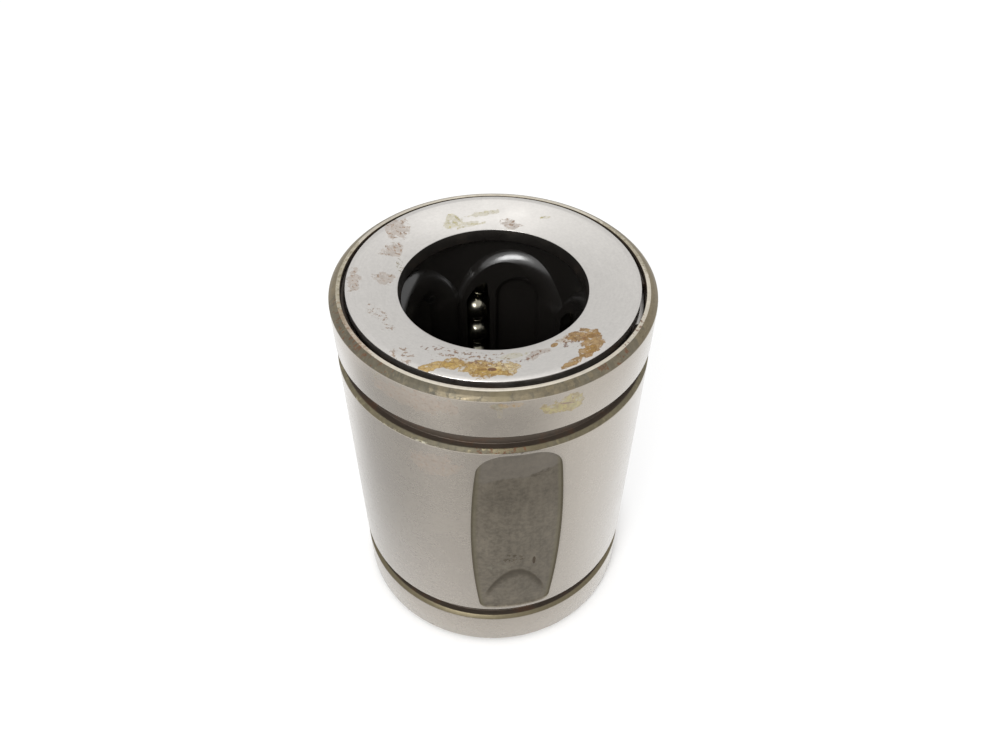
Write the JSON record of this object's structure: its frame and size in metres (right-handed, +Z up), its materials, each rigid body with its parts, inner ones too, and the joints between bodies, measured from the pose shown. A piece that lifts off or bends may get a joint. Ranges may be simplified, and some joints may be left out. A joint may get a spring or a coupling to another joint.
{
  "type": "linear ball bushing",
  "caption": "Closed linear ball bushing: hardened sleeve with two outer ring grooves, moulded cage, recirculating ball circuits, end rings and wire snap rings.",
  "frame": {"origin": "centre of the lower end face, where the bushing stands", "axes": "+Z up along the shaft axis; +X and +Y across it"},
  "size_m": [0.0286, 0.0286, 0.0381],
  "materials": {
    "ground_steel": "ground bearing steel, lightly stained",
    "turned_steel": "turned and lapped face, light rust spots",
    "spring_wire": "oiled dark spring wire",
    "chrome_steel_ball": "polished bearing ball",
    "black_resin": "oiled black moulding"
  },
  "bodies": {
    "bushing_housing": {"outer_sleeve": "ground_steel", "ball_cage": "black_resin", "end_ring_top": "turned_steel", "end_ring_bottom": "turned_steel", "snap_ring_top": "spring_wire", "snap_ring_bottom": "spring_wire"},
    "load_row_1": {"load_row_1": "chrome_steel_ball"},
    "return_row_1": {"return_row_1": "chrome_steel_ball"},
    "upper_turn_1": {"upper_turn_1": "chrome_steel_ball"},
    "lower_turn_1": {"lower_turn_1": "chrome_steel_ball"},
    "load_row_2": {"load_row_2": "chrome_steel_ball"},
    "return_row_2": {"return_row_2": "chrome_steel_ball"},
    "upper_turn_2": {"upper_turn_2": "chrome_steel_ball"},
    "lower_turn_2": {"lower_turn_2": "chrome_steel_ball"},
    "load_row_3": {"load_row_3": "chrome_steel_ball"},
    "return_row_3": {"return_row_3": "chrome_steel_ball"},
    "upper_turn_3": {"upper_turn_3": "chrome_steel_ball"},
    "lower_turn_3": {"lower_turn_3": "chrome_steel_ball"},
    "load_row_4": {"load_row_4": "chrome_steel_ball"},
    "return_row_4": {"return_row_4": "chrome_steel_ball"},
    "upper_turn_4": {"upper_turn_4": "chrome_steel_ball"},
    "lower_turn_4": {"lower_turn_4": "chrome_steel_ball"},
    "load_row_5": {"load_row_5": "chrome_steel_ball"},
    "return_row_5": {"return_row_5": "chrome_steel_ball"},
    "upper_turn_5": {"upper_turn_5": "chrome_steel_ball"},
    "lower_turn_5": {"lower_turn_5": "chrome_steel_ball"}
  },
  "joints": [
    {"name": "load_row_1_roll", "type": "slide", "parent": "bushing_housing", "child": "load_row_1", "axis": [0, 0, 1], "range_m": [-0.0016, 0.0016]},
    {"name": "return_row_1_roll", "type": "slide", "parent": "bushing_housing", "child": "return_row_1", "axis": [0, 0, 1], "range_m": [-0.0016, 0.0016]},
    {"name": "upper_turn_1_roll", "type": "hinge", "parent": "bushing_housing", "child": "upper_turn_1", "pos_m": [0.00241, 0.00873, 0.02865], "axis": [0.1403, 0.9331, -0.331], "range_deg": [-22.52, 22.52]},
    {"name": "lower_turn_1_roll", "type": "hinge", "parent": "bushing_housing", "child": "lower_turn_1", "pos_m": [0.00241, 0.00873, 0.00945], "axis": [-0.1403, -0.9331, -0.331], "range_deg": [-22.52, 22.52]},
    {"name": "load_row_2_roll", "type": "slide", "parent": "bushing_housing", "child": "load_row_2", "axis": [0, 0, 1], "range_m": [-0.0016, 0.0016]},
    {"name": "return_row_2_roll", "type": "slide", "parent": "bushing_housing", "child": "return_row_2", "axis": [0, 0, 1], "range_m": [-0.0016, 0.0016]},
    {"name": "upper_turn_2_roll", "type": "hinge", "parent": "bushing_housing", "child": "upper_turn_2", "pos_m": [-0.00755, 0.00499, 0.02865], "axis": [-0.8441, 0.4218, -0.331], "range_deg": [-22.52, 22.52]},
    {"name": "lower_turn_2_roll", "type": "hinge", "parent": "bushing_housing", "child": "lower_turn_2", "pos_m": [-0.00755, 0.00499, 0.00945], "axis": [0.8441, -0.4218, -0.331], "range_deg": [-22.52, 22.52]},
    {"name": "load_row_3_roll", "type": "slide", "parent": "bushing_housing", "child": "load_row_3", "axis": [0, 0, 1], "range_m": [-0.0016, 0.0016]},
    {"name": "return_row_3_roll", "type": "slide", "parent": "bushing_housing", "child": "return_row_3", "axis": [0, 0, 1], "range_m": [-0.0016, 0.0016]},
    {"name": "upper_turn_3_roll", "type": "hinge", "parent": "bushing_housing", "child": "upper_turn_3", "pos_m": [-0.00708, -0.00564, 0.02865], "axis": [-0.662, -0.6725, -0.331], "range_deg": [-22.52, 22.52]},
    {"name": "lower_turn_3_roll", "type": "hinge", "parent": "bushing_housing", "child": "lower_turn_3", "pos_m": [-0.00708, -0.00564, 0.00945], "axis": [0.662, 0.6725, -0.331], "range_deg": [-22.52, 22.52]},
    {"name": "load_row_4_roll", "type": "slide", "parent": "bushing_housing", "child": "load_row_4", "axis": [0, 0, 1], "range_m": [-0.0016, 0.0016]},
    {"name": "return_row_4_roll", "type": "slide", "parent": "bushing_housing", "child": "return_row_4", "axis": [0, 0, 1], "range_m": [-0.0016, 0.0016]},
    {"name": "upper_turn_4_roll", "type": "hinge", "parent": "bushing_housing", "child": "upper_turn_4", "pos_m": [0.00318, -0.00848, 0.02865], "axis": [0.435, -0.8374, -0.331], "range_deg": [-22.52, 22.52]},
    {"name": "lower_turn_4_roll", "type": "hinge", "parent": "bushing_housing", "child": "lower_turn_4", "pos_m": [0.00318, -0.00848, 0.00945], "axis": [-0.435, 0.8374, -0.331], "range_deg": [-22.52, 22.52]},
    {"name": "load_row_5_roll", "type": "slide", "parent": "bushing_housing", "child": "load_row_5", "axis": [0, 0, 1], "range_m": [-0.0016, 0.0016]},
    {"name": "return_row_5_roll", "type": "slide", "parent": "bushing_housing", "child": "return_row_5", "axis": [0, 0, 1], "range_m": [-0.0016, 0.0016]},
    {"name": "upper_turn_5_roll", "type": "hinge", "parent": "bushing_housing", "child": "upper_turn_5", "pos_m": [0.00904, 0.0004, 0.02865], "axis": [0.9308, 0.1549, -0.331], "range_deg": [-22.52, 22.52]},
    {"name": "lower_turn_5_roll", "type": "hinge", "parent": "bushing_housing", "child": "lower_turn_5", "pos_m": [0.00904, 0.0004, 0.00945], "axis": [-0.9308, -0.1549, -0.331], "range_deg": [-22.52, 22.52]}
  ],
  "couplings": [
    {"joint": "return_row_1_roll", "follows": "load_row_1_roll", "ratio": -1},
    {"joint": "upper_turn_1_roll", "follows": "load_row_1_roll", "rad_per_m": 245.44},
    {"joint": "lower_turn_1_roll", "follows": "load_row_1_roll", "rad_per_m": -245.44},
    {"joint": "return_row_2_roll", "follows": "load_row_2_roll", "ratio": -1},
    {"joint": "upper_turn_2_roll", "follows": "load_row_2_roll", "rad_per_m": 245.44},
    {"joint": "lower_turn_2_roll", "follows": "load_row_2_roll", "rad_per_m": -245.44},
    {"joint": "return_row_3_roll", "follows": "load_row_3_roll", "ratio": -1},
    {"joint": "upper_turn_3_roll", "follows": "load_row_3_roll", "rad_per_m": 245.44},
    {"joint": "lower_turn_3_roll", "follows": "load_row_3_roll", "rad_per_m": -245.44},
    {"joint": "return_row_4_roll", "follows": "load_row_4_roll", "ratio": -1},
    {"joint": "upper_turn_4_roll", "follows": "load_row_4_roll", "rad_per_m": 245.44},
    {"joint": "lower_turn_4_roll", "follows": "load_row_4_roll", "rad_per_m": -245.44},
    {"joint": "return_row_5_roll", "follows": "load_row_5_roll", "ratio": -1},
    {"joint": "upper_turn_5_roll", "follows": "load_row_5_roll", "rad_per_m": 245.44},
    {"joint": "lower_turn_5_roll", "follows": "load_row_5_roll", "rad_per_m": -245.44}
  ]
}
